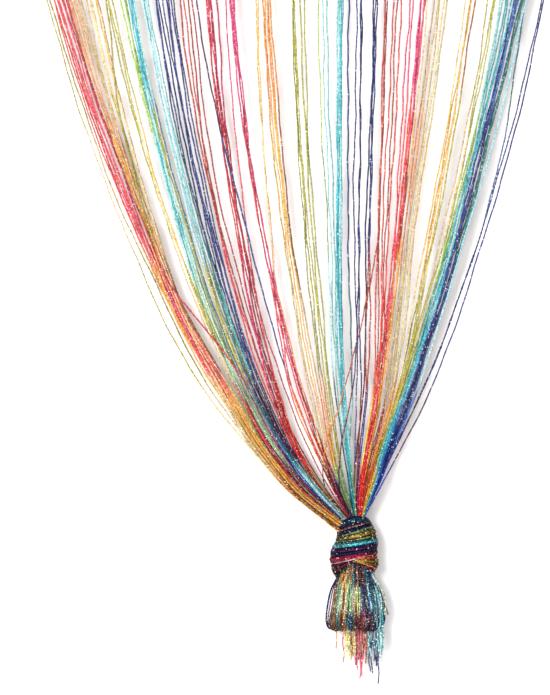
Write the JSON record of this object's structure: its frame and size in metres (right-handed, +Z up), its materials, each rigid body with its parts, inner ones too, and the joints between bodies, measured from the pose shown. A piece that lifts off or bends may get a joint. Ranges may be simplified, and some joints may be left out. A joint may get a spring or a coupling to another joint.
{
  "type": "string curtain",
  "caption": "Hanging string curtain of rainbow metallic strings rooted in a plain heading band, all drawn together off centre into one wound knot with a folded tail and loose cut ends.",
  "frame": {"origin": "middle of the heading band's top edge, halfway through its thickness", "axes": "+Z up, -Y out of the curtain's front as pictured, +X to the picture's right"},
  "size_m": [0.9, 0.047, 1.5379],
  "materials": {
    "rainbow_string": "metallic thread, glittering",
    "wound_string": "metallic thread, glittering",
    "tail_string": "metallic thread, glittering"
  },
  "bodies": {
    "root": {"heading_strings": "rainbow_string", "gather_knot": "wound_string", "tail": "tail_string"}
  },
  "joints": []
}
